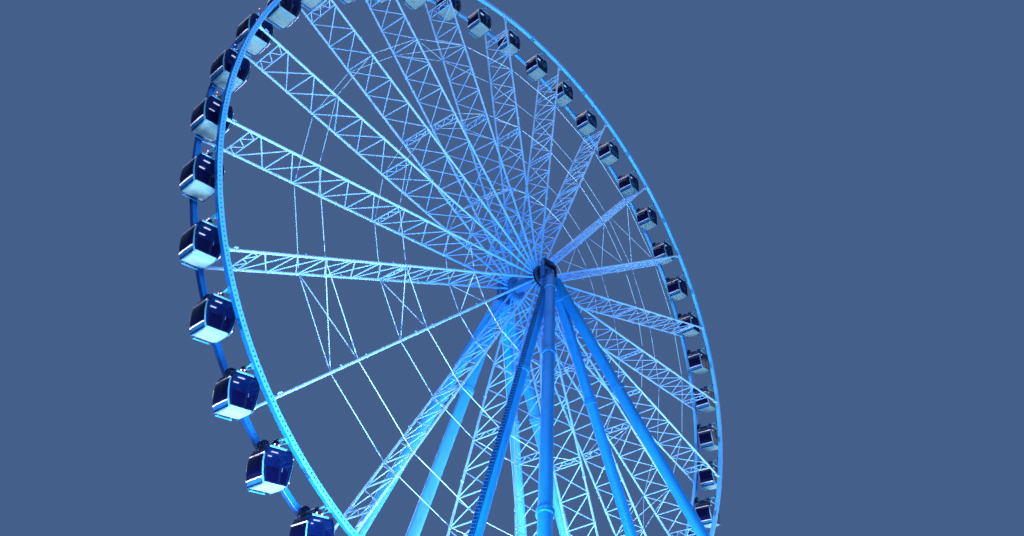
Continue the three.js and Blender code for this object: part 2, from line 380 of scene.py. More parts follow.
def paint(name, pale, deep, grime, roughness=0.38, coat=0.15, shine=0.5, far=None, from_hub=False,
          gloss_tint=BLUE_GLOSS):
    """Weathered paint: slow drift between two tones, streaks, fine speckle and orange-peel bump.

    With a far colour, a lighter tone that stands for painted light, the paint changes to it towards the
    ground, or with from_hub away from the hub.
    """
    material, tree, shader = start_material(name)
    base = ramp(tree, noise(tree, 0.55, 3), [(0.32, deep), (0.66, pale)])
    # Painted light: the paint turns to the lighter far colour near the ground, and with from_hub away from
    # the hub.
    if far:
        first, second = (base, far) if from_hub else (far, base)
        base = mix(tree, painted_light_share(tree, from_hub), first, second)
    streak = grey_ramp(tree, noise(tree, 3.2, 5, 0.65, (1, 1, 0.2)), [(0.54, 0), (0.78, 0.5)])
    speckle = grey_ramp(tree, noise(tree, 42.0, 3), [(0.60, 0), (0.78, 0.16)])
    worn = mix(tree, speckle, mix(tree, streak, base, grime), grime)
    tree.links.new(worn, shader.inputs["Base Color"])
    roughen(tree, shader, noise(tree, 5.0, 4), [(0.3, roughness - 0.08), (0.75, roughness + 0.16)])
    shader.inputs["Specular IOR Level"].default_value = shine
    # The gloss tint colours the highlights, and the blue one is painted light.
    shader.inputs["Specular Tint"].default_value = gloss_tint
    shader.inputs["Coat Weight"].default_value = coat
    shader.inputs["Coat Roughness"].default_value = 0.25
    bump(tree, shader, noise(tree, 60.0, 2), 0.12, 0.002)
    return material


def glazing(name, tint, deep, alpha):
    material, tree, shader = start_material(name)
    two_tone(tree, shader, tint, deep, noise(tree, 1.4, 2))
    roughen(tree, shader, noise(tree, 9.0, 4, 0.6, (1, 1, 0.3)), [(0.4, 0.05), (0.8, 0.16)])
    shader.inputs["Alpha"].default_value = alpha
    shader.inputs["IOR"].default_value = 1.52
    shader.inputs["Specular IOR Level"].default_value = 0.18
    shader.inputs["Coat Weight"].default_value = 0.05
    shader.inputs["Coat Roughness"].default_value = 0.04
    return material


def glowing(name, colour, deep, strength):
    material, tree, shader = start_material(name)
    tone = two_tone(tree, shader, colour, deep, noise(tree, 14.0, 2))
    tree.links.new(tone, shader.inputs["Emission Color"])
    shader.inputs["Emission Strength"].default_value = strength
    shader.inputs["Roughness"].default_value = 0.22
    return material


def metal(name, pale, deep, roughness, metallic=0.75):
    material, tree, shader = start_material(name)
    two_tone(tree, shader, pale, deep, noise(tree, 7.0, 5, 0.6))
    roughen(tree, shader, noise(tree, 24.0, 3), [(0.3, roughness - 0.07), (0.7, roughness + 0.12)])
    shader.inputs["Metallic"].default_value = metallic
    bump(tree, shader, noise(tree, 90.0, 2), 0.1, 0.001)
    return material


def fabric(name, pale, deep):
    material, tree, shader = start_material(name)
    two_tone(tree, shader, pale, deep, noise(tree, 30.0, 4))
    shader.inputs["Roughness"].default_value = 0.75
    bump(tree, shader, noise(tree, 220.0, 2), 0.3, 0.001)
    return material


MATERIALS = {
    # Painted light: spoke and brace paint turns lighter away from the hub, towards the rim.
    "spoke": paint("spoke_paint", (0.02, 0.32, 0.98), (0.012, 0.24, 0.90), (0.006, 0.14, 0.60),
                   far=(0.19, 0.50, 1.0), from_hub=True),
    "brace": paint("brace_paint", (0.015, 0.30, 0.96), (0.010, 0.22, 0.88), (0.006, 0.12, 0.56),
                   far=(0.17, 0.47, 1.0), from_hub=True),
    # The rim's faces are lit and shaded copies of one paint, as painted light and shade. The inner face is
    # lighter. The outer face and the face toward the other rim are darker, and the rear rim's outer face is
    # darkest.
    "rim": paint("rim_paint", (0.05, 0.35, 0.97), (0.032, 0.29, 0.91), (0.010, 0.18, 0.66)),
    "rim_edge_shaded": paint("rim_edge_paint", (0.002, 0.15, 0.62), (0.002, 0.11, 0.52), (0.001, 0.05, 0.28)),
    "rim_inner_lit": paint("rim_inner_paint", (0.08, 0.52, 1.0), (0.045, 0.42, 0.98), (0.015, 0.24, 0.80)),
    "rim_facing_shaded": paint("rim_facing_paint", (0.005, 0.20, 0.80), (0.003, 0.14, 0.66), (0.002, 0.07, 0.36)),
    "rim_outer_shaded": paint("rim_outer_paint", (0.002, 0.075, 0.36), (0.001, 0.05, 0.27), (0.001, 0.02, 0.13)),
    "stud": paint("rim_stud_paint", (0.004, 0.06, 0.30), (0.002, 0.035, 0.20), (0.001, 0.015, 0.09), 0.4),
    # Painted light on the legs: each leg's paint turns lighter towards the ground, as if lit by the lamps
    # below. The rear legs' paint is a lighter, lit copy of the front legs' paint.
    "leg": paint("leg_paint", (0.002, 0.135, 0.52), (0.002, 0.10, 0.43), (0.001, 0.04, 0.24), 0.42, 0, 0.3,
                 far=(0.003, 0.20, 0.72)),
    "rear_leg_lit": paint("far_leg_paint", (0.006, 0.29, 0.86), (0.004, 0.23, 0.78), (0.002, 0.11, 0.50), 0.36,
                     0, 0.4, far=(0.09, 0.43, 0.93)),
    "block": paint("block_paint", (0.005, 0.10, 0.40), (0.003, 0.06, 0.28), (0.002, 0.02, 0.12)),
    "tray": paint("tray_paint", (0.004, 0.032, 0.17), (0.002, 0.018, 0.10), (0.002, 0.008, 0.05), 0.5,
                  shine=0.25),
    "dark": paint("dark_paint", (0.003, 0.010, 0.062), (0.002, 0.005, 0.036), (0.008, 0.020, 0.08), 0.48,
                  shine=0.2),
    "cabin": paint("cabin_paint", (0.06, 0.28, 0.54), (0.04, 0.22, 0.46), (0.01, 0.12, 0.32), 0.3, 0.3),
    "floor": paint("cabin_floor_paint", (0.13, 0.31, 0.43), (0.09, 0.25, 0.38), (0.035, 0.15, 0.31), 0.42),
    "plate": paint("cabin_plate_paint", (0.18, 0.35, 0.43), (0.13, 0.30, 0.39), (0.05, 0.20, 0.34), 0.42),
    "skirt": paint("cabin_skirt_paint", (0.010, 0.14, 0.42), (0.006, 0.10, 0.34), (0.003, 0.05, 0.20), 0.34,
                   0.2),
    "step": paint("cabin_step_paint", (0.015, 0.26, 0.66), (0.010, 0.20, 0.56), (0.004, 0.10, 0.36), 0.42),
    "trim": paint("cabin_trim_paint", (0.74, 0.72, 1.0), (0.60, 0.60, 1.0), (0.26, 0.32, 0.70), 0.3,
                  gloss_tint=WHITE_GLOSS),
    "ceiling": paint("cabin_ceiling_paint", (0.010, 0.15, 0.60), (0.006, 0.10, 0.46), (0.003, 0.04, 0.24),
                     0.4),
    "panel": paint("cabin_panel_paint", (0.001, 0.006, 0.05), (0.001, 0.004, 0.03), (0.001, 0.002, 0.02),
                   0.35, 0.1, 0.2),
    "cable": metal("cable_steel", (0.30, 0.66, 1.0), (0.26, 0.60, 0.98), 0.5, 0.1),
    "steel": metal("fastener_steel", (0.24, 0.46, 0.80), (0.10, 0.26, 0.60), 0.38),
    "glass": glazing("cabin_glass", (0.001, 0.003, 0.050), (0.001, 0.001, 0.018), 0.955),
    "clear": glazing("cabin_clear_glass", (0.001, 0.010, 0.10), (0.001, 0.005, 0.06), 0.55),
    "lamp": glowing("lamp_lens", (1.0, 0.42, 0.50), (0.9, 0.28, 0.36), 0.8),
    "strip": glowing("light_strip", (0.80, 0.88, 1.0), (0.7, 0.82, 1.0), 4.0),
    "seat": fabric("seat_cover", (0.006, 0.016, 0.08), (0.003, 0.008, 0.045)),
    "ground": paint("studio_ground", (0.80, 0.80, 0.80), (0.74, 0.75, 0.76), (0.70, 0.71, 0.73), 0.7, 0,
                    gloss_tint=WHITE_GLOSS),
}
# The outer face of each rim is in a darker paint as painted shade, darkest on the rear rim.
RIM_OUTER_SHADE = {-1: "rim_edge_shaded", 1: "rim_outer_shaded"}
# The rear legs are in the lighter, lit copy of the leg paint: painted light.
LEG_COATS = {-1: "leg", 1: "rear_leg_lit"}


# Rims

def rim(side, face):
    """A box section swept round the wheel, with a paint to each face that carries painted light and shade,
    its studs and its plates.
    """
    edge = RIM_OUTER_SHADE[side]
    shape = Shape("rim", "rim_inner_lit", edge, "rim_facing_shaded", "stud", "steel")
    # The face toward the other rim takes a darker copy of the paint: painted shade.
    front, rear = ("rim", "rim_facing_shaded") if side < 0 else ("rim_facing_shaded", "rim")
    paints = [edge] * 3 + [rear] + ["rim_inner_lit"] * 3 + [front]
    stations = 252
    points = []
    for t in turn(stations):
        for dr, dy in octagon(RIM_DEPTH / 2, RIM_WIDTH / 2, RIM_CHAMFER):
            points.append(polar(FIRST + t, RIM + dr, side * PLANE + dy))
    shape.add(points, quads(stations, len(paints), True), edge)
    shape.slots = [shape.materials.index(painted) for painted in paints] * stations
    outer = side * (PLANE + RIM_WIDTH / 2)
    for i in range(STUDS):
        a = FIRST + 2 * math.pi * (i + 0.5) / STUDS
        shape.turned(polar(a, RIM, outer - side * 0.02), polar(a, RIM, outer + side * 0.012),
                     [(0, 0.041), (0.75, 0.041), (1, 0.030)], 8, "stud")
    # Each joint is reached from both its spokes, so its plates are there twice
    for k in range(SPOKES):
        for offset in (0.5, -0.5):
            splice(shape, spoke_angle(k) + offset * PITCH, side)
        rim_seat(shape, spoke_angle(k), side)
    shape.piece(f"plated_rim_{face}", "wheel", [f"rim_{face}"])


def splice(shape, angle, side):
    """The bolted cover plates where two lengths of rim meet, on the inner and outer face."""
    er, ey, et = polar_axes(angle)
    for s in (-1, 1):
        level = RIM + s * (RIM_DEPTH / 2 + 0.006)
        # The outer plates take the outer face's painted shade, and the inner ones take the inner face's
        # painted light.
        plated = RIM_OUTER_SHADE[side] if s > 0 else "rim_inner_lit"
        shape.block(polar(angle, level, side * PLANE), (0.012, 0.11, 0.26), plated, 0.004, (er, ey, et))
        for t in (-0.19, -0.09, 0.09, 0.19):
            for y in (-0.06, 0.06):
                at = polar(angle, level + s * 0.008, side * PLANE + y, t)
                shape.bolt(at, er * s, 0.017, 0.022)


def rim_seat(shape, angle, side):
    """The plate on the rim's inner face that a chord is bolted to."""
    er, ey, et = polar_axes(angle)
    level = RIM_INNER - 0.012
    shape.block(polar(angle, level, side * PLANE), (0.014, 0.13, 0.17), "rim_inner_lit", 0.004, (er, ey, et))
    for t in (-0.13, 0.13):
        for y in (-0.09, 0.09):
            shape.bolt(polar(angle, level - 0.01, side * PLANE + y, t), -er, 0.018, 0.024)


# Spokes

def post_end(post, side):
    """The radius where a post meets a chord. In front, close posts meet it further out than others."""
    if side > 0:
        return post * REACH + 0.12
    return post * REACH + (0.04 if any(post in pair for pair in LACED) else -0.07)


def chord_sleeve(shape, angle, r, side, half, low, high, edge, sides):
    """A sleeve round one chord, with its middle at a radius."""
    ends = [polar(angle, r + d, side * PLANE) for d in (-half, half)]
    shape.sleeve(*ends, low, high, edge, sides, "spoke")


def spoke(shape, k):
    """One ladder: two chords with their ends, the posts in sleeves, and what crosses between them."""
    angle = spoke_angle(k)
    foot = RIM_INNER - 0.024
    for side in (-1, 1):
        y = side * PLANE
        shape.tube(polar(angle, 0.78, y), polar(angle, RIM_INNER - 0.02, y), CHORD, 16, "spoke")
        shape.turned(polar(angle, 0.72, y), polar(angle, 1.25, y),
                     [(0, 0.06), (0.1, 0.12), (0.2, 0.12), (0.25, 0.095), (0.9, 0.095), (1, 0.078)], 12,
                     "spoke")
        shape.turned(polar(angle, foot - 0.26, y), polar(angle, foot, y),
                     [(0, 0.078), (0.3, 0.092), (0.8, 0.092), (0.85, 0.13), (1, 0.13)], 12, "spoke")
    for post in POSTS:
        front, rear = post_end(post, -1), post_end(post, 1)
        thickness = 0.038 if any(post == inner for outer, inner in LACED) else 0.043
        shape.tube(polar(angle, front, -PLANE), polar(angle, rear, PLANE), thickness, 10, "brace")
        for side, at in ((-1, front), (1, rear)):
            chord_sleeve(shape, angle, at, side, 0.07, 0.078, 0.088, 0.12, 14)
    for outer, inner in zip(POSTS, POSTS[1:]):
        if (outer, inner) in LACED:
            lacing(shape, angle, outer * REACH + 0.08, inner * REACH + 0.08)
        else:
            crossed_braces(shape, angle, outer, inner)
    fittings(shape, angle)


def crossed_braces(shape, angle, outer, inner):
    """The two bars that cross in the bay between two posts, and the plate where they pass."""
    for side in (-1, 1):
        shape.tube(polar(angle, post_end(outer, side) - 0.09, side * PLANE),
                   polar(angle, post_end(inner, -side) + 0.09, -side * PLANE, -side * 0.018), BRACE, 8,
                   "brace")
    middle = (outer + inner) / 2 * REACH + 0.05
    shape.block(polar(angle, middle), (0.07, 0.07, 0.012), "brace", 0.004, polar_axes(angle))


def lacing(shape, angle, outer, inner):
    """The light zigzag between two close posts."""
    steps = 5
    places = [-PLANE + 2 * PLANE * i / steps for i in range(steps + 1)]
    for i, (y0, y1) in enumerate(zip(places, places[1:])):
        a, b = (outer, inner) if i % 2 == 0 else (inner, outer)
        shape.tube(polar(angle, a, y0), polar(angle, b, y1), 0.03, 6, "brace")


def fittings(shape, angle):
    """The box near the rim on the front chord, held by two straps, and the clamps along both chords."""
    axes = polar_axes(angle)
    box = 0.981 * REACH
    shape.block(polar(angle, box, -PLANE, -0.12), (0.13, 0.08, 0.045), "spoke", 0.015, axes)
    for strap in (box - 0.08, box + 0.08):
        ends = [polar(angle, strap + d, -PLANE) for d in (-0.015, 0.015)]
        shape.tube(*ends, 0.09, 12, "steel")
    for share, side in CLAMPS:
        r = share * REACH
        chord_sleeve(shape, angle, r, side, 0.06, 0.08, 0.098, 0.15, 12)
        shape.block(polar(angle, r, side * PLANE, -0.125), (0.05, 0.035, 0.035), "spoke", 0.01, axes)


def flange_segment(shape, numbers, side):
    """The segment of the hub's bolting ring that carries one set of spokes."""
    gap = 0.002
    first = spoke_angle(numbers[0] - 1) + PITCH / 2 - gap
    last = first - len(numbers) * PITCH + gap
    steps = 6 * len(numbers)
    y = side * PLANE
    section = ((0.64, -0.07), (0.85, -0.07), (0.86, -0.06), (0.86, 0.06), (0.85, 0.07), (0.64, 0.07))
    rings = []
    for i in range(steps + 1):
        a = first + (last - first) * i / steps
        rings.append([polar(a, r, y + dy) for r, dy in section])
    shape.rings(rings, "dark" if side < 0 else "block")
    bolts = 2 * len(numbers)
    for i in range(bolts):
        a = first + (last - first) * (i + 0.5) / bolts
        shape.bolt(polar(a, 0.795, y + side * 0.07), (0, side, 0), 0.022, 0.035)


def spokes():
    for numbers in SPOKE_SETS:
        shape = Shape("spoke", "brace", "dark", "steel")
        for number in numbers:
            spoke(shape, number - 1)
        for side in (-1, 1):
            flange_segment(shape, numbers, side)
        label = "_".join(f"{number:02d}" for number in numbers)
        shape.piece(f"ladder_spoke_{label}", "wheel", [f"spoke_{label}"])


# Tie cables

def tie(shape, a, b):
    """A taut cable with an eye at each end and a turnbuckle near the first."""
    run = (b - a).normalized()
    near, far = a + run * 0.09, b - run * 0.09
    shape.tube(near, far, 0.027, 8, "cable")
    for end, toward in ((near, run), (far, -run)):
        shape.turned(end - toward * 0.03, end + toward * 0.32,
                     [(0, 0.03), (0.15, 0.045), (0.3, 0.032), (0.9, 0.03), (1, 0.02)], 8, "steel")
    shape.sleeve(near + run * 0.5, near + run * 0.95, 0.02, 0.042, 0.1, 8, "steel")


def ties():
    shape = Shape("cable", "steel")
    for k in range(SPOKES):
        a, b = spoke_angle(k), spoke_angle(k + 1)
        for share in TIES:
            r = share * REACH
            for side in (-1, 1):
                tie(shape, polar(a, r, side * PLANE), polar(b, r, side * PLANE))
                if k in CROSSED:
                    tie(shape, polar(a, r, side * PLANE), polar(b, r, -side * PLANE))
    shape.piece("tie_cables", "wheel")


# Hub, bearings and legs

def hub():
    """The drum with its discs and shaft, a band round each outer disc, end caps and the bolts."""
    shape = Shape("dark", "steel", "block")
    half = [(0.30, 0.50), (0.60, 0.44), (0.93, 0.44), (0.945, 0.80), (0.96, 0.86), (1.095, 0.86),
            (1.105, 0.82), (1.105, 0.52), (1.40, 0.50), (1.42, 0.78), (1.43, 0.795), (1.53, 0.795),
            (1.54, 0.78), (1.54, 0.46), (1.76, 0.46), (1.79, 0.44), (1.795, 0.28), (2.08, 0.28), (2.12, 0.25)]
    profile = [(-y, r) for y, r in reversed(half)] + half
    rings = [circle(y * Y, r, 64, X, Z) for y, r in profile]
    dark_rings = len(half) - 2
    shape.rings(rings[:dark_rings], "dark")
    shape.rings(rings[dark_rings - 1:], "block")
    for side in (-1, 1):
        shape.nut_ring((0, side * 0.945, 0), (0, -side, 0), 0.72, 42, 0.024, 0.03)
        shape.sleeve((0, side * 1.465, 0), (0, side * 1.505, 0), 0.795, 0.802, 0.2, 64, "block")
        shape.nut_ring((0, side * 1.54, 0), (0, side, 0), 0.68, 24, 0.022, 0.022)
        shape.turned((0, side * 2.115, 0), (0, side * 2.135, 0), [(0, 0.2), (0.5, 0.2), (1, 0.17)], 32,
                     "block")
        shape.nut_ring((0, side * 2.13, 0), (0, side, 0), 0.12, 6, 0.02, 0.018)
    shape.piece("hub_drum", "wheel", ["hub"])


def support(side_y, face):
    """The bearing, the cap under it, the hood over it and the four legs on one side."""
    shape = Shape(LEG_COATS[side_y], "dark", "steel", "block", "tray")
    bearing(shape, side_y)
    hood(shape, side_y)
    for foot_name in FEET:
        for side_x in (-1, 1):
            leg(shape, foot_name, side_x, side_y)
    shape.piece(f"legs_and_bearing_{face}", "base", [f"support_{face}"])


def rounded(outline, radius, steps=5):
    """An outline with each corner turned into an arc."""
    out = []
    for i, corner in enumerate(outline):
        p = Vector(corner)
        before = Vector(outline[i - 1]) - p
        after = Vector(outline[(i + 1) % len(outline)]) - p
        r = min(radius, 0.45 * before.length, 0.45 * after.length)
        a, b = p + before.normalized() * r, p + after.normalized() * r
        for j in range(steps + 1):
            t = j / steps
            out.append(tuple(a * (1 - t) ** 2 + p * 2 * t * (1 - t) + b * t * t))
    return out


def mirrored(half):
    """An arch from its right half, given from the foot up to the crown."""
    return [(-x, z) for x, z in half] + half[-2::-1]


def bearing(shape, side_y):
    """The block with its boss round the shaft, over the cap that gathers the four legs."""
    block = [(0.595, -0.70), (0.595, 0.60), (-0.595, 0.60), (-0.595, -0.70)]
    bored(shape, rounded(block, 0.16), side_y * BLOCK_NEAR, side_y * BLOCK_FAR)
    boss = [(0.46 * math.cos(t), 0.46 * math.sin(t)) for t in turn(40)]
    bored(shape, boss, side_y * (BLOCK_FAR - 0.01), side_y * BOSS_FAR)
    shape.nut_ring((0, side_y * BOSS_FAR, 0), (0, side_y, 0), 0.385, 10, 0.026, 0.03, 0.2)
    for x in (-0.49, 0.49):
        for z in (-0.5, 0.46):
            shape.bolt((x, side_y * BLOCK_FAR, z), (0, side_y, 0), 0.04, 0.05)
    cap = [(0.72, CAP_TOP), (-0.72, CAP_TOP), (-0.72, -0.92), (-0.52, -1.15), (0.52, -1.15), (0.72, -0.92)]
    low, high = sorted((side_y * BLOCK_NEAR, side_y * CAP_FAR))
    shape.prism(rounded(cap, 0.09, 4), "block", low, high, (X, Z, Y), chamfer=0.02)
    for x in (-0.60, 0.60):
        for y in (2.36, 2.60):
            shape.bolt((x, side_y * y, CAP_TOP - 0.005), Z, 0.045, 0.08)
    for x in (-0.5, -0.17, 0.17, 0.5):
        shape.bolt((x, side_y * CAP_FAR, -0.76), (0, side_y, 0), 0.03, 0.03)


def bored(shape, outline, low, high):
    """A plate with the shaft's bore through it, between two levels along the axle."""
    angles = [math.atan2(z, x) for x, z in outline]
    hole = [(BORE * math.cos(a), BORE * math.sin(a)) for a in angles]
    rings = ((outline, low), (outline, high), (hole, high), (hole, low))
    points = [(x, y, z) for ring, y in rings for x, z in ring]
    shape.add(points, quads(len(rings), len(outline), True), "block")


def hood(shape, side_y):
    """The arch over a bearing, dark except for its lighter lower left, with the dark right side as painted
    shade: bolted feet, bolts on its sides and a lifting lug on its crown.
    """
    outer = mirrored([(0.72, CAP_TOP), (0.72, -0.2), (0.72, 0.25), (0.715, 0.58), (0.685, 0.72), (0.61, 0.84),
                      (0.47, 0.93), (0.25, 0.985), (0.0, 1.0)])
    inner = mirrored([(0.605, CAP_TOP), (0.605, -0.2), (0.605, 0.25), (0.605, 0.50), (0.585, 0.58),
                      (0.54, 0.65), (0.42, 0.70), (0.22, 0.725), (0.0, 0.73)])
    far = side_y * HOOD_FAR
    rings = []
    for (ox, oz), (ix, iz) in zip(outer, inner):
        near = side_y * (1.84 + 0.27 * min(1.0, max(0.0, (0.86 - oz) / 0.22)))
        rings.append([(ox, near, oz), (ox, far, oz), (ix, far, iz), (ix, near, iz)])
    # The lower left of the arch is in the lighter block paint and the rest is dark. This is painted light on
    # the left and painted shade down the right side.
    shape.rings(rings[:5], "block")
    shape.rings(rings[4:], "dark")
    shape.sweep([((ox + ix) / 2, far, (oz + iz) / 2) for (ox, oz), (ix, iz) in zip(outer, inner)],
                0.022, 8, "dark")
    for x in (-1, 1):
        shape.block((x * 0.67, side_y * 2.19, -0.62), (0.10, 0.13, 0.035), "dark", 0.01)
        for y in (2.11, 2.25):
            shape.bolt((x * 0.70, side_y * y, -0.59), Z, 0.035, 0.05, "trim")
        for z in (-0.35, 0.05, 0.42):
            shape.bolt((x * 0.72, side_y * 2.19, z), (x, 0, 0), 0.025, 0.02)
            shape.bolt((x * 0.662, far, z), (0, side_y, 0), 0.022, 0.02)
    shape.block((-0.30, side_y * 2.06, 1.02), (0.13, 0.12, 0.075), "dark", 0.02)
    shape.turned((-0.30, side_y * 1.98, 1.09), (-0.30, side_y * 2.14, 1.09),
                 [(0, 0.05), (0.5, 0.06), (1, 0.05)], 14, "dark")


def leg(shape, foot_name, side_x, side_y):
    """One leg in three lengths: collars under the cap, bolted joints, weld bands and its foot."""
    foot_x, foot_y = FEET[foot_name]
    coat = LEG_COATS[side_y]
    top = Vector((0, side_y * HEAD_Y, 0))
    ground = Vector((side_x * foot_x, side_y * foot_y, GROUND))
    length = (ground - top).length
    run = (ground - top).normalized()
    start = 0.72 / -run.z
    shape.tube(top + run * start, top + run * (length - 0.25), LEG, 32, coat)
    shape.turned(top + run * (start + 1.16), top + run * (start + 1.42),
                 [(0, LEG), (0.08, LEG + 0.035), (0.9, LEG + 0.035), (1, LEG)], 32, coat)
    shape.sleeve(top + run * (start + 1.43), top + run * (start + 1.49), LEG, LEG + 0.045, 0.1, 32, "step")
    for joint in (UPPER_JOINT, LOWER_JOINT):
        for at in (joint - JOINT_HALF, joint + 0.005):
            flange(shape, top + run * at, run, coat)
        for end in (-1, 1):
            shape.nut_ring(top + run * (joint + end * JOINT_HALF), end * run, 0.425, 16, 0.022, 0.03)
    for at in (UPPER_JOINT - 4.6, UPPER_JOINT + 4.2, UPPER_JOINT + 8.4, LOWER_JOINT + 5.6):
        shape.sleeve(top + run * (at - 0.02), top + run * (at + 0.02), LEG, LEG + 0.008, 0.3, 32, coat)
    foot_plate(shape, ground, run, coat)
    if (foot_name, side_x, side_y) == ("inner", -1, -1):
        cable_tray(shape, top, run, length)


def flange(shape, start, run, coat):
    """One side of a bolted joint, with bevelled edges."""
    bevel = FLANGE - 0.015
    shape.turned(start, start + run * (JOINT_HALF - 0.005),
                 [(0, LEG), (0.02, bevel), (0.12, FLANGE), (0.88, FLANGE), (0.98, bevel), (1, LEG)], 40, coat)


def foot_plate(shape, ground, run, coat):
    """The square plate under a leg, with four ribs and its anchor bolts."""
    top = ground + Z * FOOT_PLATE
    shape.block(ground + Z * FOOT_PLATE / 2, (0.75, 0.75, FOOT_PLATE / 2), coat, 0.015)
    rib = [(0.30, 0), (0.66, 0), (0.66, 0.06), (0.42, 0.42), (0.22, 0.42)]
    outwards = Vector((run.x, run.y, 0)).normalized()
    for _ in range(4):
        beside = Z.cross(outwards)
        shape.prism(rib, coat, -0.02, 0.02, (outwards, Z, beside), top)
        outwards = beside
    for x in (-0.62, 0.62):
        for y in (-0.62, 0.62):
            at = top + Vector((x, y, 0))
            shape.bolt(at, Z, 0.05, 0.07)
            shape.tube(at + Z * 0.06, at + Z * 0.14, 0.022, 10, "steel")


def cable_tray(shape, top, run, length):
    """The ladder tray with its cables up the left of the near leg."""
    left = Vector((-1, -0.35, 0))
    side = (left - run * left.dot(run)).normalized()
    wide = run.cross(side).normalized()
    start = top + run * 1.3 + side * (LEG + 0.07)
    end = top + run * (length - 1.2) + side * (LEG + 0.07)
    rails = [(0, -TRAY_HALF, 0.022, 6), (0, TRAY_HALF, 0.022, 6)]
    cables = [(0.03, -0.07, 0.03, 8), (0.03, 0.0, 0.024, 8), (0.03, 0.065, 0.032, 8)]
    for lift, beside, radius, sides in rails + cables:
        shift = side * lift + wide * beside
        shape.tube(start + shift, end + shift, radius, sides, "tray")
    span = (end - start).length
    count = int(span / 0.22)
    for i in range(count):
        p = start + run * (span * (i + 0.5) / count)
        rung = p + side * 0.055
        shape.tube(rung - wide * TRAY_HALF, rung + wide * TRAY_HALF, 0.014, 6, "leg")
        if i % 11 == 0:
            shape.tube(p - side * 0.1, p, 0.03, 6, "tray")


# Lamps on the front rim

def lamps():
    """One lamp to a cabin: a plate on the rim, two struts, a socket and a domed lens."""
    shape = Shape("step", "lamp", "dark")
    dome = [(math.sin(a), 0.05 * math.cos(a)) for a in [math.pi / 2 * j / 6 for j in range(6)]]
    for i in range(2 * SPOKES):
        angle = cabin_angle(i)
        er, ey, et = polar_axes(angle)
        tip = polar(angle, RIM + 0.33, -0.74, 0.16)
        for t in (0.0, 0.24):
            shape.tube(polar(angle, RIM + 0.13, -1.06, t), tip, 0.013, 6, "step")
        shape.block(polar(angle, RIM + 0.152, -1.10, 0.12), (0.012, 0.08, 0.16), "step", 0.004, (er, ey, et))
        shape.turned(tip - 0.02 * er, tip + 0.022 * er, [(0, 0.04), (0.6, 0.05), (1, 0.046)], 12, "dark")
        shape.turned(tip + 0.022 * er, tip + 0.07 * er, dome, 14, "lamp")
    shape.piece("cabin_lamps", "wheel")


# Cabins, in real sizes from the middle of their axle

HALF_DEPTH = 0.66
STRIP = 0.034
SHOULDER, SILL = -0.787, -2.09


def smooth_curve(points):
    """The given points with one more between each two, on one smooth curve."""
    out = []
    for i in range(len(points) - 1):
        p0, p1 = points[max(i - 1, 0)], points[i]
        p2, p3 = points[i + 1], points[min(i + 2, len(points) - 1)]
        out += [p1, tuple((9 * (p1[c] + p2[c]) - p0[c] - p3[c]) / 16 for c in (0, 1))]
    return out + [points[-1]]


# Half widths by height: the edge of the flat front, and the bulge of the side wall halfway along
FACE = smooth_curve([(0.573, -0.43), (0.665, -0.60), (0.735, -0.787), (0.762, -0.95), (0.765, -1.12),
                     (0.758, -1.29), (0.738, -1.49), (0.710, -1.68), (0.680, -1.83), (0.645, -1.97),
                     (0.608, -2.09), (0.573, -2.19)])
WALL = smooth_curve([(0.61, -0.43), (0.70, -0.60), (0.775, -0.79), (0.845, -0.93), (0.885, -1.05),
                     (0.905, -1.2), (0.908, -1.35), (0.90, -1.49), (0.87, -1.64), (0.80, -1.80),
                     (0.735, -1.90), (0.68, -2.03), (0.64, -2.10), (0.595, -2.19)])


def width_at(points, z):
    """The half width at a height, from points in order downwards."""
    for (x0, z0), (x1, z1) in zip(points, points[1:]):
        if z1 <= z <= z0:
            return x0 + (x1 - x0) * (z0 - z) / (z0 - z1)
    return points[-1][0] if z < points[-1][1] else points[0][0]


def face_x(z):
    return width_at(FACE, z)


def wall_x(z, y):
    """The side wall's half width, which bulges between its two corner strips."""
    edge = face_x(z) + STRIP
    bulge = max(0.0, width_at(WALL, z) - edge)
    return edge + bulge * (1 - min(1.0, abs(y) / HALF_DEPTH) ** 6)


def levels(z_top, z_low, count):
    return [z_top + (z_low - z_top) * i / count for i in range(count + 1)]


def side_skin(shape, side, z_top, z_low, inset, thickness, material, count, reach=0.62):
    """A stretch of the bulging side wall between two heights."""
    stations = [reach * (2 * i / 8 - 1) for i in range(9)]
    rings = []
    for z in levels(z_top, z_low, count):
        outer = [(side * (wall_x(z, y) - inset), y, z) for y in stations]
        inner = [(side * (wall_x(z, y) - inset - thickness), y, z) for y in reversed(stations)]
        rings.append(outer + inner)
    shape.rings(rings, material)


def corner_strip(shape, side, s, z_top, z_low, material, count=14):
    """The bevelled strip between the flat front and a side wall."""
    rings = []
    for i, z in enumerate(levels(z_top, z_low, count)):
        x = face_x(z)
        w = STRIP * (0.1 + 0.6 * i / count)
        section = [(x - w, HALF_DEPTH + 0.006), (x - 0.5 * w, HALF_DEPTH + 0.010), (x + 0.7 * w, 0.645),
                   (x + STRIP + 0.004, 0.61), (x + 0.4 * STRIP, 0.60), (x - w, 0.635)]
        rings.append([(side * px, s * py, z) for px, py in section])
    shape.rings(rings, material)


def front_frame(shape, side, s):
    """The dark upright on the front that follows a corner strip."""
    y0, y1 = s * HALF_DEPTH, s * (HALF_DEPTH - 0.035)
    rings = []
    for z in levels(-0.47, SILL, 12):
        near, far = side * (face_x(z) - 0.006), side * (face_x(z) - 0.15)
        rings.append([(near, y0, z), (far, y0, z), (far, y1, z), (near, y1, z)])
    shape.rings(rings, "panel")


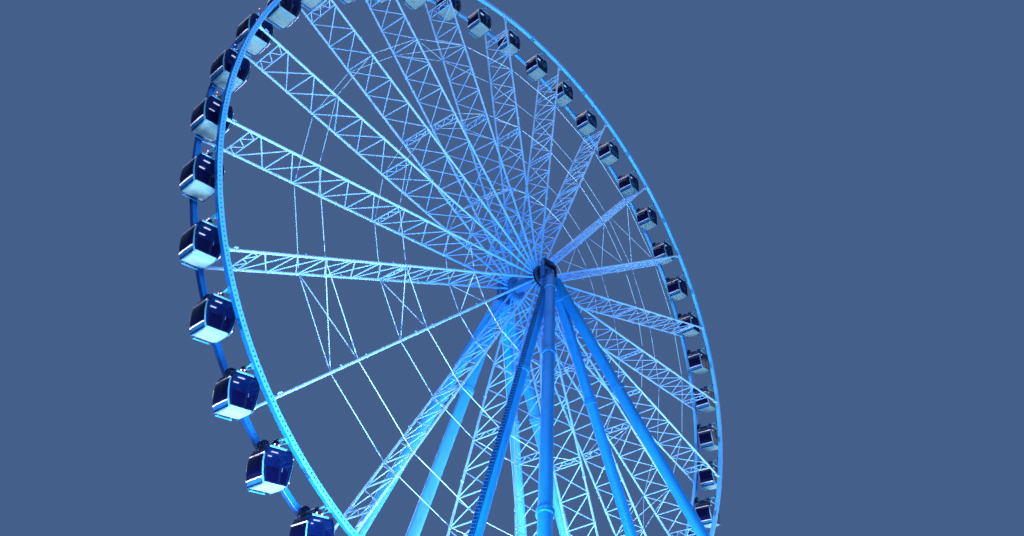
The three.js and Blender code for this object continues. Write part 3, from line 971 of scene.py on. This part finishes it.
def pane(shape, s, x_low, x_high, z_top, z_low, material):
    """A flat pane on the front between two upright edges, cut to the face's outline."""
    y0, y1 = s * (HALF_DEPTH - 0.012), s * (HALF_DEPTH - 0.026)
    rings = []
    for z in levels(z_top, z_low, 10):
        w = face_x(z) - 0.14
        a, b = max(x_low, -w), min(x_high, w)
        rings.append([(a, y0, z), (b, y0, z), (b, y1, z), (a, y1, z)])
    shape.rings(rings, material)


def stacked(shape, steps, c, material):
    """A closed form from octagons of (half width, half depth, height)."""
    shape.rings([[(x, y, z) for x, y in octagon(hx, hy, c)] for hx, hy, z in steps], material)


def cabin_mesh():
    shape = Shape("cabin", "glass", "clear", "floor", "plate", "step", "trim", "ceiling", "panel", "dark",
                  "seat", "strip", "steel")
    for s in (-1, 1):
        cabin_front(shape, s)
    for side in (-1, 1):
        cabin_side(shape, side)
    cabin_floor(shape)
    cabin_roof(shape)
    cabin_hanger(shape)
    return shape.mesh("level_cabin", Vector())


def cabin_front(shape, s):
    """One flat end: light corner strips, dark frames, a pillar, two panes below and clear ones above."""
    for side in (-1, 1):
        corner_strip(shape, side, s, SHOULDER, -2.19, "cabin" if s < 0 else "block")
        corner_strip(shape, side, s, -0.42, SHOULDER + 0.004, "panel", 4)
        front_frame(shape, side, s)
    pillar = 0.148 * -s
    for z_top, z_low, glass in ((-0.47, -1.36, "clear"), (-1.365, -2.02, "glass")):
        pane(shape, s, -0.9, pillar - 0.055, z_top, z_low, glass)
        pane(shape, s, pillar + 0.055, 0.9, z_top, z_low, glass)
    shape.block((pillar, s * (HALF_DEPTH - 0.014), -1.26), (0.06, 0.022, 0.80), "panel", 0.01)
    shape.block((0, s * (HALF_DEPTH - 0.018), -2.045), (0.60, 0.024, 0.045), "panel", 0.01)
    shape.block((0, s * (HALF_DEPTH - 0.020), -0.478), (0.56, 0.022, 0.02), "panel", 0.008)
    shape.block((-0.11, s * HALF_DEPTH, -0.44), (0.465, 0.035, 0.048), "cabin", 0.014)
    shape.block((-0.345, s * HALF_DEPTH, -0.345), (0.035, 0.025, 0.055), "trim", 0.01)
    handle = [(pillar + 0.09, s * (HALF_DEPTH + 0.002), z) for z in (-1.5, -1.3)]
    shape.sleeve(*handle, 0.006, 0.012, 0.1, 8, "steel")


def cabin_side(shape, side):
    """One side: glass between a dark top and a skirt, light trims along it, and the bench inside."""
    side_skin(shape, side, SHOULDER - 0.02, -1.93, 0.012, 0.016, "glass", 12, 0.60)
    side_skin(shape, side, -1.925, -2.17, 0.008, 0.024, "skirt", 4, 0.60)
    side_skin(shape, side, -0.44, SHOULDER + 0.02, 0.0, 0.03, "panel", 4)
    for z in (SHOULDER + 0.005, -1.885):
        trim = [(side * (wall_x(z, y) + 0.010), y, z) for y in (-0.60, -0.5, -0.3, 0, 0.3, 0.5, 0.60)]
        shape.sweep(trim, 0.034, 8, "trim")
    bumper = [(side * (wall_x(-2.12, y) - 0.01), y, -2.13) for y in (-0.6, -0.3, 0, 0.3, 0.6)]
    shape.sweep(bumper, 0.03, 8, "panel")
    shape.block((side * 0.44, 0, -1.68), (0.22, 0.54, 0.045), "seat", 0.03)
    shape.block((side * 0.46, 0, -1.88), (0.15, 0.50, 0.15), "panel", 0.02)
    back = [(0.58, -1.62), (0.68, -1.24), (0.64, -1.22), (0.52, -1.62)]
    shape.prism([(side * x, z) for x, z in back], "seat", -0.52, 0.52, (X, Z, -Y))


def cabin_floor(shape):
    """The tray under the cabin: a light edge, chamfered front and back, with its plate, bolts and step."""
    stacked(shape, ((0.572, 0.645, -2.07), (0.58, 0.662, -2.095), (0.574, 0.645, -2.125),
                    (0.562, 0.43, -2.195), (0.52, 0.40, -2.206)), 0.05, "floor")
    stacked(shape, ((0.47, 0.36, -2.200), (0.47, 0.36, -2.212), (0.45, 0.34, -2.216)), 0.04, "plate")
    for x in (-0.52, 0.52):
        for y in (-0.37, 0, 0.37):
            shape.bolt((x, y, -2.198), -Z, 0.022, 0.012)
    for x in (-0.45, 0.45):
        for s in (-1, 1):
            shape.bolt((x, s * 0.56, -2.15), (0, s * 0.3, -1), 0.022, 0.012)
    shape.block((0, 0, -2.055), (0.55, 0.61, 0.015), "panel", 0.006)
    shape.block((-0.01, 0.785, -2.185), (0.43, 0.035, 0.026), "step", 0.01)
    for x in (-0.34, 0.30):
        shape.tube((x, 0.60, -2.10), (x, 0.785, -2.185), 0.014, 8, "step")


def cabin_roof(shape):
    """The crowned roof, its lit ceiling and the rounded air unit on top."""
    stacked(shape, ((0.59, 0.61, -0.56), (0.60, 0.63, -0.47), (0.56, 0.62, -0.425), (0.46, 0.52, -0.405),
                    (0.30, 0.36, -0.40)), 0.08, "panel")
    shape.block((0, 0, -0.572), (0.56, 0.58, 0.012), "ceiling", 0.006)
    for side in (-1, 1):
        side_skin(shape, side, -0.58, SHOULDER - 0.01, 0.05, 0.02, "ceiling", 3, 0.58)
    shape.block((-0.125, -0.42, -0.60), (0.17, 0.04, 0.016), "strip", 0.006)
    shape.block((-0.05, 0.18, -0.60), (0.15, 0.045, 0.016), "strip", 0.006)
    air_unit(shape)


def air_unit(shape):
    """A dark hump of superellipses, off the roof's middle, with a row of vents behind."""
    rings = []
    for hx, hy, z in ((0.45, 0.33, -0.41), (0.48, 0.36, -0.37), (0.48, 0.36, -0.28), (0.44, 0.32, -0.21),
                      (0.33, 0.24, -0.17), (0.16, 0.11, -0.16)):
        ring = []
        for t in turn(20):
            x = hx * math.copysign(abs(math.cos(t)) ** 0.6, math.cos(t))
            y = hy * math.copysign(abs(math.sin(t)) ** 0.6, math.sin(t))
            ring.append((x - 0.06, 0.24 + y, z))
        rings.append(ring)
    shape.rings(rings, "dark")
    for j in range(5):
        shape.block((-0.06 + 0.10 * (j - 2), 0.565, -0.31), (0.035, 0.012, 0.04), "panel", 0.006)


def cabin_hanger(shape):
    """The axle between the rims, its end caps, and the frame that drops to the roof."""
    shape.tube((0, -1.03, 0), (0, 1.03, 0), 0.060, 16, "cabin")
    shape.turned((0, 0.70, 0), (0, 0.90, 0),
                 [(0, 0.24), (0.06, 0.29), (0.2, 0.33), (0.8, 0.33), (0.94, 0.30), (1, 0.24)], 28, "dark")
    shape.nut_ring((0, 0.70, 0), -Y, 0.16, 8, 0.018, 0.015)
    for s, y in ((-1, -0.30), (1, -0.14)):
        shape.turned((0, s * 0.90, 0), (0, s * 1.034, 0),
                     [(0, 0.07), (0.2, 0.115), (0.95, 0.115), (1, 0.10)], 20, "dark")
        shape.sleeve((0, y - 0.05, 0), (0, y + 0.05, 0), 0.07, 0.10, 0.2, 20, "dark")
        for x in (-1, 1):
            shape.tube((0, y, -0.03), (x * 0.36, y, -0.42), 0.026, 8, "dark")
        shape.tube((-0.42, y, -0.415), (0.42, y, -0.415), 0.024, 8, "dark")


def cabins():
    data = cabin_mesh()
    for i in range(2 * SPOKES):
        name = f"cabin_{i + 1:02d}"
        place(f"level_{name}", data, name, [name], HUB + SCALE * polar(cabin_angle(i), RIM))


for side, face in SIDES:
    rim(side, face)
spokes()
ties()
hub()
lamps()
for side, face in SIDES:
    support(side, face)
cabins()


# Camera at the photograph's view, taken as 1024 wide by 536 high

PHOTO_WIDTH = 1024
FOCAL_PIXELS = 792.97
SENSOR_WIDTH = 36
YAW, TILT, ROLL = 0.84894, 0.55702, -0.01583
CAMERA_AT = Vector((-1.52273, -1.28502, -1.18696))  # from the hub, in shares of REACH


def camera():
    data = bpy.data.cameras.new("camera")
    data.sensor_width = SENSOR_WIDTH
    data.lens = FOCAL_PIXELS / PHOTO_WIDTH * SENSOR_WIDTH
    data.clip_end = 2000
    obj = in_scene("camera", data)
    ahead = Vector((math.sin(YAW) * math.cos(TILT), math.cos(YAW) * math.cos(TILT), math.sin(TILT)))
    level = Vector((math.cos(YAW), -math.sin(YAW), 0))
    over = level.cross(ahead)
    right = math.cos(ROLL) * level + math.sin(ROLL) * over
    up = -math.sin(ROLL) * level + math.cos(ROLL) * over
    facing = Matrix((right, up, -ahead)).transposed().to_4x4()
    obj.matrix_world = Matrix.Translation(HUB + SCALE * REACH * CAMERA_AT) @ facing
    bpy.context.scene.camera = obj


# Studio, in the model's metres

def area(name, at, target, size, power, colour):
    """A round light at a place, aimed at another."""
    data = bpy.data.lights.new(name, "AREA")
    data.shape = "DISK"
    data.size = size
    data.energy = power
    data.color = colour
    obj = in_scene(name, data)
    obj.location = at
    obj.rotation_euler = (Vector(target) - Vector(at)).to_track_quat("-Z", "Y").to_euler()


def studio():
    """A night-blue world over a wide pale floor, with lights round the wheel and three low ones aimed up."""
    bpy.context.scene.view_settings.view_transform = "Standard"
    world = bpy.data.worlds.new("studio")
    bpy.context.scene.world = world
    world.use_nodes = True
    background = world.node_tree.nodes["Background"]
    background.inputs["Color"].default_value = (0.06, 0.115, 0.26, 1)
    background.inputs["Strength"].default_value = 1.0
    floor = Shape("ground")
    floor.add([(900 * math.cos(t), 900 * math.sin(t), 0) for t in turn(96)], [list(range(96))], "ground")
    in_scene("studio_floor", floor.mesh("studio_floor", Vector(), 1))
    area("key", (-16, -30, 14), (-1, 0, 15), 13, 5500, (0.92, 0.97, 1.0))
    area("low", (-10.5, -4.5, 0.6), (-10.5, -4.5, 12), 5, 4600, (0.90, 0.96, 1.0))
    area("low_right", (9.5, -3.5, 0.6), (9.5, -3.5, 12), 5, 2600, (0.90, 0.96, 1.0))
    area("inner", (0.5, 0.3, 0.4), (0.5, 0.3, 12), 5, 2600, (0.90, 0.96, 1.0))
    area("fill", (34, -14, 18), (4, 0, 14), 20, 1300, (0.85, 0.93, 1.0))
    area("back", (8, 44, 24), (0, 0, 15), 24, 8500, (0.92, 0.96, 1.0))
    area("top", (0, 6, 62), (0, 0, 0), 60, 13000, (0.94, 0.97, 1.0))


camera()
studio()
